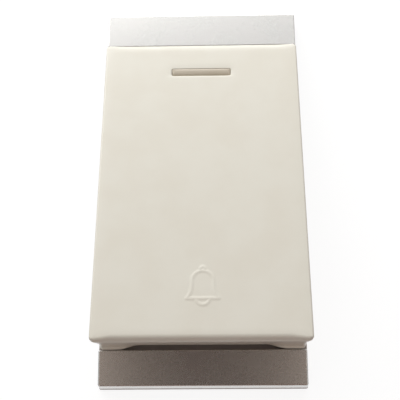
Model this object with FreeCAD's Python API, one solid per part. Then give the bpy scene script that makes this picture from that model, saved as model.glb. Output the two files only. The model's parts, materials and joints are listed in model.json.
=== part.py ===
import FreeCAD, Part
import math
import os

Vector = FreeCAD.Vector
os.makedirs("parts", exist_ok=True)

# All sizes are millimetres. The push lies on its back: X runs across it, +Y points to
# its upper end, +Z out of the wall, and the origin is the middle of its back.

# Base moulding, outside
body_width = 46.0
body_length = 90.5
end_height = 4.6
top_strip_length = 9.0
top_strip_rise = 1.1
lip_length = 7.75
lip_rise = 1.0
ledge_height = 3.0
base_flare = 0.3
base_corner = 0.45
base_edge_round = 0.3
crest_round = 0.25
floor_thickness = 1.4
strip_wall = 1.6
pocket_rib = 1.0
pocket_rib_offset = 8.0

# Push cover, outside and wall
cover_top_height = 6.9
cover_slope = 10.5
cover_wall = 1.8
skirt_wall = 2.0
cover_lean = 5.5
cover_corner = 1.2
cover_edge_round = 0.85
skirt_gap_top = 0.4
skirt_gap_bottom = 1.4
strip_gap = 0.15
foot_gap = 1.2

# Toes of the cover at its two low corners; between them a blade can reach under it
toe_span = 33.0
toe_gap = 0.15
toe_height = 1.0
toe_flare_height = 7.0
toe_side_gap = 0.2

# Collar on the base that guides the cover
collar_gap = 0.3
collar_wall = 1.3
collar_headroom = 0.55
collar_height = 10.5
collar_end_gap = 0.8
collar_foot_gap = 0.5

# Pivot of the cover
pivot_from_top = 10.1
pivot_height = 5.2
trunnion_radius = 0.75
trunnion_length = 1.4
pivot_clearance = 0.05
pivot_end_gap = 0.1

# Snap hooks that hold the cover against its spring
hook_from_foot = 11.3
hook_length = 4.0
hook_depth = 1.3
hook_height = 1.2
hook_under = 6.3
hook_gap = 0.15
hook_side_gap = 0.6
hook_lead_in = 0.7

# Light bar
light_from_top = 8.1
slot_length = 14.0
slot_width = 2.0
slot_corner = 0.5
bar_clearance = 0.08
bar_sink = 0.1
bar_dome = 0.45
bar_flange = 0.9
bar_flange_thickness = 0.7

# Bell mark: a raised line on the face
bell_from_foot = 10.3
bell_right_of_middle = 0.33
bell_dome_radius = 2.6
bell_side = 3.0
bell_flare = 1.2
bell_flare_drop = 1.5
bell_line = 0.9
bell_relief = 0.2
bell_knob_radius = 1.0
clapper_radius = 1.6

# Circuit board
board_side_gap = 0.4
board_end_gap = 0.6
board_spring_gap = 0.5
tongue_width = 14.0
tongue_length = 9.6
board_height = 2.6
board_thickness = 1.2
board_corner = 1.0
post_radius = 2.2
post_inset = 3.5
peg_radius = 0.95
peg_clearance = 0.05
peg_stand = 0.8
screw_radius = 1.1
screw_head_radius = 2.0
screw_head_height = 1.4
screw_length = 2.4
screw_recess = 0.5
screw_cross = (2.2, 0.5)

# Push switch on the board
switch_from_edge = 5.8
switch_side = 6.0
switch_body_height = 3.2
switch_plate = 0.3
plunger_radius = 1.7
plunger_clearance = 0.06
plunger_height = 6.0
plunger_foot_radius = 2.2
plunger_foot = 0.5
plunger_travel = 0.25
switch_free_play = 0.3
press_gap = 0.05
switch_floor = 0.8
switch_well_radius = 2.4
switch_leg_rise = 1.2
dome_radius = 2.1
dome_thickness = 0.15
dome_rise = 0.5
leg_width = 0.7
leg_thickness = 0.3
leg_length = 0.9
leg_spacing = 4.5
press_post_radius = 2.0

# Return spring beside the switch
spring_battery_gap = 0.15
spring_wire = 0.5
spring_radius = 2.35
spring_turns = 6
spring_seat_height = 4.0
spring_length = 7.5
spring_seat_radius = 3.2
spigot_radius = 1.6
spigot_height = 1.5

# Battery and its contacts
battery_wall_gap = 0.55
battery_radius = 5.15
battery_length = 28.5
battery_cap_radius = 2.6
battery_cap_length = 0.9
battery_gap = 0.25
saddle_x = 5.0
saddle_thickness = 1.2
saddle_height = 7.4
saddle_wall = 1.2
contact_thickness = 0.4
contact_width = 8.8
contact_height = 9.5
contact_foot = 0.6
positive_gap = 0.1
negative_space = 3.1
contact_wire = 0.6
contact_coil_small = 1.3
contact_coil_large = 3.2
contact_turns = 3
arm_height = 1.8
arm_overlap = 1.2
arm_root = 1.0
holder_wall = 1.1
holder_reach = 1.8
holder_height = 8.0
holder_gap = 0.1

# Wall screw holes in the floor
wall_hole_radius = 1.8
wall_hole_x = 10.5
wall_hole_inset = 3.2
wall_boss_radius = 3.4
wall_boss_height = 0.8

# Small sizes shared by many pieces
rooted = 0.5
overrun = 1.0
near = 0.01
small_round = 0.5
fine_round = 0.3
lead_radius = 0.25

# Sizes that follow from the ones above
half_width = body_width / 2
half_length = body_length / 2
strip_y = half_length - top_strip_length
crest_y = lip_length - half_length
strip_height = end_height + top_strip_rise
crest_height = end_height + lip_rise
slope = math.tan(math.radians(cover_slope))
slope_stretch = 1 / math.cos(math.radians(cover_slope))
lean = math.tan(math.radians(cover_lean))
cover_high_y = strip_y - strip_gap
cover_foot_y = crest_y + foot_gap
cover_top_y = cover_high_y - cover_wall
skirt_inner = half_width - skirt_wall
collar_outer = skirt_inner - collar_gap
collar_inner = collar_outer - collar_wall
collar_high_y = cover_top_y - collar_end_gap
collar_low_y = cover_foot_y + cover_wall + collar_foot_gap
pivot_y = cover_high_y - pivot_from_top
light_y = cover_high_y - light_from_top
bell_y = cover_foot_y + bell_from_foot
hook_y = cover_foot_y + hook_from_foot
tray_high_y = collar_high_y - collar_wall
tray_low_y = collar_low_y + collar_wall
battery_y = tray_low_y + battery_wall_gap + battery_radius
spring_y = battery_y + battery_radius + spring_battery_gap + spring_seat_radius
board_width = 2 * (collar_inner - board_side_gap)
board_low_y = spring_y + spring_seat_radius + board_spring_gap
board_top_y = tray_high_y - board_end_gap
board_shoulder_y = board_top_y - tongue_length
board_top = board_height + board_thickness
post_x = board_width / 2 - post_inset
post_low_y = board_low_y + post_inset
post_high_y = board_shoulder_y - post_inset
wall_hole_high_y = tray_high_y - wall_hole_inset
wall_hole_low_y = spring_y
switch_y = board_low_y + switch_from_edge
plunger_top = board_top + plunger_height
press_travel = switch_free_play + plunger_travel
press_arm = pivot_y - switch_y
press_angle = press_travel / press_arm
battery_height = floor_thickness + battery_gap + battery_radius
battery_x = (negative_space - positive_gap) / 2
battery_low_x = battery_x - battery_length / 2
battery_high_x = battery_x + battery_length / 2
positive_x = battery_high_x + positive_gap
negative_x = battery_low_x - negative_space


def box(x, y, z):
    size = Vector(x[1] - x[0], y[1] - y[0], z[1] - z[0])
    return Part.makeBox(size.x, size.y, size.z, Vector(x[0], y[0], z[0]))


def both(reach):
    return (-reach, reach)


def centred(middle, size):
    return (middle - size / 2, middle + size / 2)


def rod(radius, start, end):
    start = Vector(*start)
    along = Vector(*end) - start
    return Part.makeCylinder(radius, along.Length, start, along)


def side_prism(points, x):
    """Closed outline of (y, z) points, drawn out along X."""
    corners = [Vector(x[0], y, z) for y, z in points]
    face = Part.Face(Part.makePolygon(corners + corners[:1]))
    return face.extrude(Vector(x[1] - x[0], 0, 0))


def plan_prism(points, z):
    """Closed outline of (x, y) points, drawn out along Z."""
    corners = [Vector(x, y, z[0]) for x, y in points]
    face = Part.Face(Part.makePolygon(corners + corners[:1]))
    return face.extrude(Vector(0, 0, z[1] - z[0]))


def mirrored(shape):
    return shape.mirror(Vector(0, 0, 0), Vector(1, 0, 0))


def pair(shape):
    return [shape, mirrored(shape)]


def along_z(edge):
    ends = [vertex.Point for vertex in edge.Vertexes]
    return len(ends) == 2 and (ends[0] - ends[1]).cross(Vector(0, 0, 1)).Length < 1e-6


def round_edge(edge):
    return len(edge.Vertexes) == 1


def rounded(shape, radius, chosen):
    return shape.makeFillet(radius, [edge for edge in shape.Edges if chosen(edge)])


def export(name, *solids):
    shape = solids[0] if len(solids) == 1 else Part.makeCompound(list(solids))
    shape.exportStep("parts/" + name + ".step")
    print(name, len(shape.Solids), "solid(s)", round(shape.Volume, 2), "mm3")


def face_height(y):
    """Height of the cover's outer face above the wall."""
    return cover_top_height + (cover_high_y - y) * slope


def inner_height(y):
    return face_height(y) - cover_wall * slope_stretch


def on_face(shape, y, x=0):
    """Moves a shape drawn flat at the origin onto the sloped face."""
    turn = FreeCAD.Rotation(Vector(1, 0, 0), -cover_slope)
    shape = shape.copy()
    shape.Placement = FreeCAD.Placement(Vector(x, y, face_height(y)), turn)
    return shape


def skirt_height(y):
    share = (cover_high_y - y) / (cover_high_y - cover_foot_y)
    return ledge_height + skirt_gap_top + share * (skirt_gap_bottom - skirt_gap_top)


def bar_block(length, width, corner, low, high):
    """Long block with rounded upright corners, drawn flat at the origin."""
    block = box(both(length / 2), both(width / 2), (low, high))
    return rounded(block, corner, along_z)


# Base moulding

def frustum(height):
    """Drafted block with rounded upright corners."""
    sections = []
    for z in (0, height):
        grow = base_flare * (1 - z / end_height)
        x = half_width + grow
        y = half_length + grow
        block = box(both(x), both(y), (z, z + 1))
        block = rounded(block, base_corner, along_z)
        lowest = min(block.Faces, key=lambda face: face.CenterOfMass.z)
        sections.append(lowest.OuterWire)
    return Part.makeLoft(sections, True, True)


def base_profile():
    over = 4 * rooted
    low = (-half_length - over, end_height - over * lip_rise / lip_length)
    high = (half_length + over, end_height - over * top_strip_rise / top_strip_length)
    crest = [(crest_y, crest_height), (crest_y, ledge_height)]
    shoulder = [(strip_y, ledge_height), (strip_y, strip_height)]
    return [(low[0], 0), low] + crest + shoulder + [high, (high[0], 0)]


def on_outer_rim(edge):
    """Upper edges of the two sloped end strips, apart from their inner crests."""
    middle = edge.CenterOfMass
    outside = abs(middle.x) > half_width - base_corner - rooted
    outside = outside or abs(middle.y) > half_length - base_corner - rooted
    beyond = middle.y > strip_y + near or middle.y < crest_y - near
    return outside and beyond and middle.z > end_height - rooted and not upright(edge)


def upright(edge):
    box_of_edge = edge.BoundBox
    return box_of_edge.ZLength > max(box_of_edge.XLength, box_of_edge.YLength)


def on_crest(edge):
    middle = edge.CenterOfMass
    at_top = abs(middle.y - strip_y) < near and abs(middle.z - strip_height) < near
    at_lip = abs(middle.y - crest_y) < near and abs(middle.z - crest_height) < near
    return at_top or at_lip


def base_block():
    tallest = max(strip_height, crest_height)
    block = frustum(tallest).common(side_prism(base_profile(), both(body_width)))
    block = rounded(block, base_edge_round, on_outer_rim)
    return rounded(block, crest_round, on_crest)


def collar_block():
    """Block whose top follows the cover's inside and then stays level."""
    level_y = cover_high_y - (collar_height + collar_headroom - inner_height(cover_high_y)) / slope
    level_y = max(level_y, collar_low_y + collar_wall)
    level = min(collar_height, inner_height(level_y) - collar_headroom)
    top = inner_height(collar_high_y) - collar_headroom
    outline = [(collar_low_y, 0), (collar_low_y, level), (level_y, level)]
    outline += [(collar_high_y, top), (collar_high_y, 0)]
    return side_prism(outline, both(collar_outer))


def tray_hollow():
    top = collar_height + overrun
    return box(both(collar_inner), (tray_low_y, tray_high_y), (floor_thickness, top))


def end_pocket(inner_y, outer_y, inner_z, outer_z):
    """Hollow under a sloped end strip, open at the back."""
    points = [(inner_y, -overrun), (inner_y, inner_z), (outer_y, outer_z), (outer_y, -overrun)]
    pocket = side_prism(points, both(half_width - strip_wall))
    for x in both(pocket_rib_offset):
        rib = box(centred(x, pocket_rib), sorted((inner_y, outer_y)), (-overrun, inner_z + overrun))
        pocket = pocket.cut(rib)
    return pocket


def end_pockets():
    strip_slope = top_strip_rise / top_strip_length
    lip_slope = lip_rise / lip_length
    high = end_pocket(
        strip_y + strip_wall,
        half_length - strip_wall,
        strip_height - strip_wall * (1 + strip_slope),
        end_height - strip_wall * (1 - strip_slope),
    )
    low = end_pocket(
        crest_y - strip_wall,
        -half_length + strip_wall,
        crest_height - strip_wall * (1 + lip_slope),
        end_height - strip_wall * (1 - lip_slope),
    )
    return [high, low]


def hook_window():
    x = (collar_inner - overrun, collar_outer + overrun)
    low = hook_under - (pivot_y - hook_y) * press_angle - hook_side_gap
    high = hook_under + hook_height + hook_gap
    return box(x, centred(hook_y, hook_length + 2 * hook_side_gap), (low, high))


def wall_hole_places():
    return [(x, y) for x in both(wall_hole_x) for y in (wall_hole_low_y, wall_hole_high_y)]


def screw_places():
    return [(-post_x, post_high_y), (post_x, post_low_y)]


def peg_places():
    return [(post_x, post_high_y), (-post_x, post_low_y)]


def floor_features():
    top = floor_thickness + wall_boss_height
    solids = [rod(wall_boss_radius, (x, y, 0), (x, y, top)) for x, y in wall_hole_places()]
    for x, y in screw_places() + peg_places():
        solids.append(rod(post_radius, (x, y, 0), (x, y, board_height)))
    for x, y in peg_places():
        solids.append(rod(peg_radius, (x, y, 0), (x, y, board_top + peg_stand)))
    solids.append(rod(spring_seat_radius, (0, spring_y, 0), (0, spring_y, spring_seat_height)))
    tip = spring_seat_height + spigot_height
    solids.append(rod(spigot_radius, (0, spring_y, 0), (0, spring_y, tip)))
    return solids


def saddle(x):
    reach = battery_radius + battery_gap + saddle_wall
    low = max(battery_y - reach, collar_low_y + collar_wall / 2)
    rib = box(centred(x, saddle_thickness), (low, battery_y + reach), (0, saddle_height))
    start = (x - saddle_thickness, battery_y, battery_height)
    end = (x + saddle_thickness, battery_y, battery_height)
    bed = rod(battery_radius + battery_gap, start, end)
    above = box(centred(x, 2 * saddle_thickness),
                both(battery_radius + battery_gap), (0, saddle_height))
    above.translate(Vector(0, battery_y, battery_height))
    return rib.cut(bed).cut(above)


def contact_holder(plate_x, outward):
    """Two posts behind a contact plate, which the battery and spring press it against."""
    back = plate_x + outward * (contact_thickness + holder_gap)
    x = sorted((back, back + outward * holder_wall))
    posts = []
    for side in (-1, 1):
        edge = battery_y + side * contact_width / 2
        y = sorted((edge, edge - side * holder_reach))
        posts.append(box(x, y, (0, holder_height)))
    return posts


def contact_foot_ledge(plate_x, outward):
    x = sorted((plate_x, plate_x + outward * (contact_thickness + holder_gap)))
    return box(x, centred(battery_y, contact_width), (0, floor_thickness + contact_foot))


def trunnion():
    x = collar_outer + trunnion_length
    return rod(trunnion_radius, (collar_inner, pivot_y, pivot_height), (x, pivot_y, pivot_height))


def make_base():
    base = base_block().fuse(collar_block()).cut(tray_hollow())
    additions = floor_features() + [saddle(battery_x + x) for x in both(saddle_x)]
    for plate_x, outward in ((positive_x, 1), (negative_x, -1)):
        additions += contact_holder(plate_x, outward)
        additions.append(contact_foot_ledge(plate_x, outward))
    base = base.multiFuse(additions)
    cuts = end_pockets() + pair(hook_window())
    for x, y in wall_hole_places():
        cuts.append(rod(wall_hole_radius, (x, y, -overrun), (x, y, board_height)))
    for x, y in screw_places():
        cuts.append(rod(screw_radius, (x, y, board_top - screw_length), (x, y, board_top)))
    base = base.cut(Part.makeCompound(cuts)).removeSplitter()
    return base.multiFuse(pair(trunnion())).removeSplitter()


# Push cover

def cover_outline(wall):
    """Side outline of the cover, or of its hollow when a wall is given."""
    high_y = cover_high_y - wall
    foot_z = skirt_height(cover_foot_y)
    top_low = skirt_height(cover_high_y)
    if wall:
        foot_z -= overrun
        top_low -= overrun
    foot_y = cover_foot_y + wall / math.cos(math.radians(cover_lean))
    foot_y += (skirt_height(cover_foot_y) - foot_z) * lean
    drop = wall * slope_stretch
    low_z = (face_height(foot_y) - drop - slope * foot_z * lean) / (1 - slope * lean)
    low_y = foot_y - (low_z - foot_z) * lean
    high_z = face_height(high_y) - drop
    return [(foot_y, foot_z), (low_y, low_z), (high_y, high_z), (high_y, top_low)]


def at_cover_corner(edge):
    middle = edge.CenterOfMass
    return upright(edge) and abs(abs(middle.x) - half_width) < near


def around_cover_face(edge):
    middle = edge.CenterOfMass
    return abs(middle.z - face_height(middle.y)) < fine_round and not upright(edge)


def cover_block():
    block = side_prism(cover_outline(0), both(half_width))
    block = rounded(block, cover_corner, lambda e: at_cover_corner(e) and e.CenterOfMass.y < 0)
    block = rounded(block, cover_edge_round, lambda e: at_cover_corner(e) and e.CenterOfMass.y > 0)
    return rounded(block, cover_edge_round, around_cover_face)


def bell_outline(inset, low, high):
    """Bell outline drawn flat: a dome, flared sides and a straight rim."""
    radius = bell_dome_radius - inset
    rim = bell_dome_radius + bell_flare - inset
    waist = -bell_side
    foot = -bell_side - bell_flare_drop + inset
    points = [Vector(radius, 0, low), Vector(0, radius, low), Vector(-radius, 0, low)]
    dome = Part.Arc(*points).toShape()
    sides = [Vector(-radius, 0, low), Vector(-radius, waist + inset, low), Vector(-rim, foot, low)]
    sides += [Vector(rim, foot, low), Vector(radius, waist + inset, low), Vector(radius, 0, low)]
    wire = Part.Wire([dome] + Part.makePolygon(sides).Edges)
    return Part.Face(wire).extrude(Vector(0, 0, high - low))


def half_ring(radius, line, centre_y, upper, low, high):
    ring = rod(radius, (0, centre_y, low), (0, centre_y, high))
    bore = rod(radius - line, (0, centre_y, low - overrun), (0, centre_y, high + overrun))
    ring = ring.cut(bore)
    keep = (centre_y, centre_y + radius) if upper else (centre_y - radius, centre_y)
    return ring.common(box(both(radius), keep, (low, high)))


def bell_mark():
    low = -rooted
    bell = bell_outline(0, low, bell_relief)
    bell = bell.cut(bell_outline(bell_line, low - overrun, bell_relief + overrun))
    rim = -bell_side - bell_flare_drop
    crown = bell_dome_radius - bell_line / 4
    clapper = half_ring(clapper_radius, bell_line, rim + near, False, low, bell_relief)
    knob = half_ring(bell_knob_radius, bell_line / 2, crown, True, low, bell_relief)
    return on_face(bell.multiFuse([clapper, knob]), bell_y, bell_right_of_middle)


def press_post():
    foot = plunger_top + press_travel + press_gap - plunger_travel
    roof = inner_height(switch_y) + rooted
    return rod(press_post_radius, (0, switch_y, foot), (0, switch_y, roof))


def spring_boss():
    foot = spring_seat_height + spring_length
    roof = inner_height(spring_y) + rooted
    boss = rod(spring_seat_radius, (0, spring_y, foot), (0, spring_y, roof))
    return boss.fuse(rod(spigot_radius, (0, spring_y, foot - spigot_height), (0, spring_y, roof)))


def hook():
    """Tapered block inside a skirt that catches in the collar's window."""
    x = skirt_inner - hook_depth
    y = centred(hook_y, hook_length)
    z = (hook_under, hook_under + hook_height)
    block = box((x, skirt_inner + rooted), y, z)
    lead_in = [Vector(x - near, y[0] - rooted, hook_under - near)]
    lead_in.append(Vector(x + hook_lead_in, y[0] - rooted, hook_under - near))
    lead_in.append(Vector(x - near, y[0] - rooted, hook_under + hook_lead_in))
    wedge = Part.Face(Part.makePolygon(lead_in + lead_in[:1]))
    return block.cut(wedge.extrude(Vector(0, hook_length + 2 * rooted, 0)))


def pivot_hole():
    start = (skirt_inner - overrun, pivot_y, pivot_height)
    depth = collar_outer + trunnion_length + pivot_end_gap
    return rod(trunnion_radius + pivot_clearance, start, (depth, pivot_y, pivot_height))


def wall_y(z):
    """Place of the leaning low end wall at a height."""
    return cover_foot_y - (z - skirt_height(cover_foot_y)) * lean


def toe_outline():
    """Side outline of a toe: flat underneath, a short nose, then a hollow curve up to the wall."""
    low = skirt_height(cover_foot_y)
    nose_y = crest_y + toe_gap
    points = [(cover_foot_y + rooted, low), (nose_y, low)]
    for share in (0, 0.25, 0.5, 0.75, 1):
        z = low + toe_height + (toe_flare_height - toe_height) * share ** 2
        points.append((nose_y + (wall_y(z) - nose_y) * share * (2 - share), z))
    return points + [(cover_foot_y, low + toe_flare_height)]


def toe():
    x = (toe_span / 2, half_width - toe_side_gap)
    low = skirt_height(cover_foot_y)
    y = (crest_y + toe_gap, cover_foot_y + rooted)
    plan = box(x, y, (low, low + toe_flare_height))
    plan = rounded(plan, cover_corner, lambda e: along_z(e) and e.BoundBox.XMin > x[1] - near
                   and e.BoundBox.YMin < y[0] + near)
    return side_prism(toe_outline(), x).common(plan)


def make_cover():
    hollow = side_prism(cover_outline(cover_wall), both(skirt_inner))
    cover = cover_block().cut(hollow)
    additions = [bell_mark(), press_post(), spring_boss()] + pair(hook()) + pair(toe())
    cover = cover.multiFuse(additions)
    slot = bar_block(slot_length, slot_width, slot_corner, -cover_wall - overrun, overrun)
    cuts = [on_face(slot, light_y)] + pair(pivot_hole())
    return cover.cut(Part.makeCompound(cuts)).removeSplitter()


def make_light_bar():
    length = slot_length - 2 * bar_clearance
    width = slot_width - 2 * bar_clearance
    corner = slot_corner - bar_clearance
    bar = bar_block(length, width, corner, -cover_wall, -bar_sink)
    bar = rounded(bar, bar_dome, lambda e: abs(e.BoundBox.ZMin + bar_sink) < 1e-3
                  and e.BoundBox.ZLength < 1e-3)
    flange = bar_block(length + 2 * bar_flange, width + 2 * bar_flange, slot_corner,
                       -cover_wall - bar_flange_thickness, -cover_wall)
    return on_face(bar.fuse(flange).removeSplitter(), light_y)


# Circuit board and what is soldered on it

def make_board():
    half = board_width / 2
    tongue = tongue_width / 2
    right = [(half, board_low_y), (half, board_shoulder_y), (tongue, board_shoulder_y)]
    right.append((tongue, board_top_y))
    left = [(-x, y) for x, y in reversed(right)]
    board = plan_prism(right + left, (board_height, board_top))
    outer = [edge for edge in board.Edges if along_z(edge)]
    outer = [edge for edge in outer if abs(edge.CenterOfMass.y - board_shoulder_y) > near
             or abs(edge.CenterOfMass.x) > tongue + near]
    board = board.makeFillet(board_corner, outer)
    for x, y in screw_places():
        hole = screw_radius + peg_clearance
        board = board.cut(rod(hole, (x, y, 0), (x, y, board_top + overrun)))
    for x, y in peg_places():
        hole = peg_radius + peg_clearance
        board = board.cut(rod(hole, (x, y, 0), (x, y, board_top + overrun)))
    return board


def make_board_screws():
    screws = []
    for x, y in screw_places():
        tip = board_top - screw_length + pivot_end_gap
        head = rod(screw_head_radius, (x, y, board_top), (x, y, board_top + screw_head_height))
        head = rounded(head, small_round, lambda e: e.BoundBox.ZMin > board_top + near)
        shank = rod(screw_radius - peg_clearance, (x, y, tip), (x, y, board_top))
        top = board_top + screw_head_height
        screw = head.fuse(shank)
        for bar in (screw_cross, screw_cross[::-1]):
            z = (top - screw_recess, top + overrun)
            recess = box(centred(x, bar[0]), centred(y, bar[1]), z)
            screw = screw.cut(recess)
        screws.append(screw.removeSplitter())
    return screws


def make_switch_body():
    top = board_top + switch_body_height
    body = box(centred(0, switch_side), centred(switch_y, switch_side), (board_top, top))
    body = rounded(body, small_round, along_z)
    low = board_top + switch_floor
    return body.cut(rod(switch_well_radius, (0, switch_y, low), (0, switch_y, top)))


def make_switch_plate():
    low = board_top + switch_body_height
    plate = box(centred(0, switch_side), centred(switch_y, switch_side), (low, low + switch_plate))
    plate = rounded(plate, small_round, along_z)
    hole = plunger_radius + plunger_clearance
    return plate.cut(rod(hole, (0, switch_y, low - overrun), (0, switch_y, low + overrun)))


def plunger_foot_height():
    return board_top + switch_floor + dome_rise + dome_thickness + plunger_travel + press_gap


def make_plunger():
    low = plunger_foot_height()
    stem = rod(plunger_radius, (0, switch_y, low), (0, switch_y, plunger_top))
    stem = rounded(stem, fine_round, lambda e: e.BoundBox.ZMin > plunger_top - near)
    foot = rod(plunger_foot_radius, (0, switch_y, low), (0, switch_y, low + plunger_foot))
    return stem.fuse(foot)


def spherical_cap(radius, rise, thickness, low):
    """Shallow domed disc with its rim down, its axis at the switch."""
    ball = (radius * radius + rise * rise) / (2 * rise)
    centre = Vector(0, switch_y, low + rise - ball)
    cap = Part.makeSphere(ball + thickness, centre).cut(Part.makeSphere(ball, centre))
    top = low + rise + thickness + overrun
    return cap.common(rod(radius, (0, switch_y, low), (0, switch_y, top)))


def make_dome():
    low = board_top + switch_floor
    return spherical_cap(dome_radius, dome_rise, dome_thickness, low)


def gull_leg(x, y, outward, rise, width):
    """Soldered leg: out of the body's side, down to the board and outward."""
    foot = box(sorted((x, x + outward * leg_length)), centred(y, width),
               (board_top, board_top + leg_thickness))
    stem = box(sorted((x, x + outward * leg_thickness)), centred(y, width),
               (board_top, board_top + rise))
    return foot.fuse(stem).removeSplitter()


def make_switch_legs():
    legs = []
    for y in centred(switch_y, leg_spacing):
        for outward in (-1, 1):
            legs.append(gull_leg(outward * switch_side / 2, y, outward, switch_leg_rise, leg_width))
    return legs


# Small parts on the board: sizes are (x, y, height)
led_size = (3.5, 2.8, 1.4)
led_window_radius = 1.1
led_bowl_depth = 0.6
chip_x = -8.0
chip_size = (7.5, 11.5, 2.3)
chip_legs = 9
chip_leg_spacing = 1.27
chip_leg_width = 0.4
resonator_x = 9.5
resonator_radius = 4.2
resonator_height = 2.8
resonator_flange = 0.45
resonator_flange_height = 0.5
transistor_x = 8.5
transistor_size = (3.0, 1.6, 1.1)
transistor_leg_spacing = 0.95
transistor_leg = (0.7, 0.45, 0.25)
coil_radius = 1.9
coil_wire = 0.6
coil_turns = 4
coil_gap = 0.5
coil_screw_gap = 0.3
capacitor_x = (3.2, -2.0, 14.5)
capacitor_radius = 1.9
capacitor_thickness = 1.6
capacitor_lead = 0.5
capacitor_lead_spacing = 2.0
can_x = 13.0
can_radius = 2.5
can_height = 6.0
can_sleeve = 0.15
resistor_x = (2.5, 9.2)
resistor_radius = 0.9
resistor_length = 3.4
resistor_lead = 1.2
resistor_lift = 0.1
pin_spacing = 2.54
pin_count = 3
header_base = 2.5
header_peg_gap = 0.3
pin_side = 0.64
pin_height = 7.0
jumper_height = 4.4
jumper_wall = 0.7
jumper_gap = 0.1
part_margin = 0.8


def spread(sizes, low, high):
    """Middles of parts in a row along Y, with equal gaps before each and after the last."""
    gap = (high - low - sum(sizes)) / (len(sizes) + 1)
    middles = []
    for size in sizes:
        middles.append(low + gap + size / 2)
        low += gap + size
    return middles


# Three rows of parts: beside the chip, behind the switch and beside the resonator
resistor_width = 2 * resistor_radius
capacitor_width = 2 * capacitor_radius
coil_outer = 2 * coil_radius + coil_wire
coil_length = (coil_wire + coil_gap) * coil_turns + coil_wire
header_length = pin_count * pin_spacing
transistor_length = transistor_size[1] + 2 * transistor_leg[0]
flange_width = 2 * (resonator_radius + resonator_flange)
row_low = board_low_y + part_margin
row_high = board_shoulder_y - part_margin
header_y, chip_y, coil_y = spread((header_length, chip_size[1], coil_outer), row_low, row_high)
middle_sizes = (resistor_width,) * 3 + (capacitor_width,) * 2
middle_y = spread(middle_sizes, switch_y + switch_side / 2, row_high)
side_sizes = (2 * can_radius, resistor_width, transistor_length, flange_width)
side_y = spread(side_sizes, post_low_y + screw_head_radius, row_high)
can_y, side_resistor_y, transistor_y, resonator_y = side_y
header_x = -post_x + peg_radius + header_peg_gap + pin_spacing / 2
coil_x = -post_x + screw_head_radius + coil_screw_gap + coil_length / 2
resistor_places = [(resistor_x[0], y) for y in middle_y[:3]] + [(resistor_x[1], side_resistor_y)]
capacitor_places = list(zip(capacitor_x, middle_y[3:] + [transistor_y]))


def block_on_board(place, size):
    x = centred(place[0], size[0])
    y = centred(place[1], size[1])
    return box(x, y, (board_top, board_top + size[2]))


def make_led():
    body = block_on_board((0, light_y), led_size)
    body = rounded(body, fine_round, along_z)
    top = board_top + led_size[2]
    bowl = rod(led_window_radius, (0, light_y, top - led_bowl_depth), (0, light_y, top))
    return body.cut(bowl), bowl


def make_chip():
    body = block_on_board((chip_x, chip_y), chip_size)
    upper = [e for e in body.Edges if e.BoundBox.ZMin > board_top + near]
    return body.makeChamfer(fine_round, upper)


def make_chip_legs():
    legs = []
    for i in range(chip_legs):
        y = chip_y + (i - (chip_legs - 1) / 2) * chip_leg_spacing
        for outward in (-1, 1):
            x = chip_x + outward * chip_size[0] / 2
            legs.append(gull_leg(x, y, outward, chip_size[2] / 2, chip_leg_width))
    return legs


def make_resonator():
    x, y = resonator_x, resonator_y
    flange_top = board_top + resonator_flange_height
    flange = rod(resonator_radius + resonator_flange, (x, y, board_top), (x, y, flange_top))
    can = rod(resonator_radius, (x, y, board_top), (x, y, board_top + resonator_height))
    can = rounded(can, small_round, lambda e: e.BoundBox.ZMin > board_top + near)
    return can.fuse(flange).removeSplitter()


def make_transistor():
    body = block_on_board((transistor_x, transistor_y), transistor_size)
    return rounded(body, fine_round, lambda e: e.BoundBox.ZMin > board_top + near)


def make_transistor_legs():
    spacing = transistor_leg_spacing
    length, width, thickness = transistor_leg
    legs = []
    for dx, side in ((-spacing, -1), (spacing, -1), (0, 1)):
        x = centred(transistor_x + dx, width)
        start = transistor_y + side * transistor_size[1] / 2
        span = sorted((start, start + side * length))
        legs.append(box(x, span, (board_top, board_top + thickness)))
    return legs


def coil_wire_solid(start, axis_turn, radius, end_radius, pitch, turns, wire):
    """Round wire wound as one tube of quarter-turn arcs, drawn upright and then turned."""
    def point(turn):
        share = turn / turns
        r = radius + (end_radius - radius) * share
        angle = 2 * math.pi * turn
        return Vector(r * math.cos(angle), r * math.sin(angle), pitch * turn)
    samples = [point(i / 24) for i in range(24 * turns + 1)]
    apart = min((samples[j] - samples[i]).Length for i in range(len(samples))
                for j in range(i + 12, len(samples)))
    print("wound wire: least gap to itself", round(apart - wire, 3), "mm")
    arcs = []
    for i in range(int(turns * 4)):
        ends = (point(i / 4), point((i + 1 / 2) / 4), point((i + 1) / 4))
        arcs.append(Part.Arc(*ends).toShape())
    path = Part.Wire(arcs)
    section = Part.Wire([Part.Circle(point(0), arcs[0].tangentAt(0), wire / 2).toShape()])
    solid = path.makePipeShell([section], True, False)
    solid.Placement = FreeCAD.Placement(Vector(*start), axis_turn)
    return solid


def make_coil():
    pitch = coil_wire + coil_gap
    x = coil_x - pitch * coil_turns / 2
    start = (x, coil_y, board_top + coil_radius + coil_wire / 2)
    turn = FreeCAD.Rotation(Vector(0, 1, 0), 90)
    return coil_wire_solid(start, turn, coil_radius, coil_radius, pitch, coil_turns, coil_wire)


def make_capacitors():
    discs = []
    for x, y in capacitor_places:
        z = board_top + capacitor_lead + capacitor_radius
        disc = rod(capacitor_radius, (x - capacitor_thickness / 2, y, z),
                   (x + capacitor_thickness / 2, y, z))
        disc = rounded(disc, small_round, round_edge)
        discs.append(disc)
    return discs


def make_capacitor_leads():
    """Straight leads that end at the round lower edge of each disc."""
    nearest = capacitor_lead_spacing / 2 - lead_radius
    rise = capacitor_radius - math.sqrt(capacitor_radius ** 2 - nearest ** 2)
    top = board_top + capacitor_lead + rise
    leads = []
    for x, y in capacitor_places:
        for lead_y in centred(y, capacitor_lead_spacing):
            leads.append(rod(lead_radius, (x, lead_y, board_top), (x, lead_y, top)))
    return leads


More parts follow.
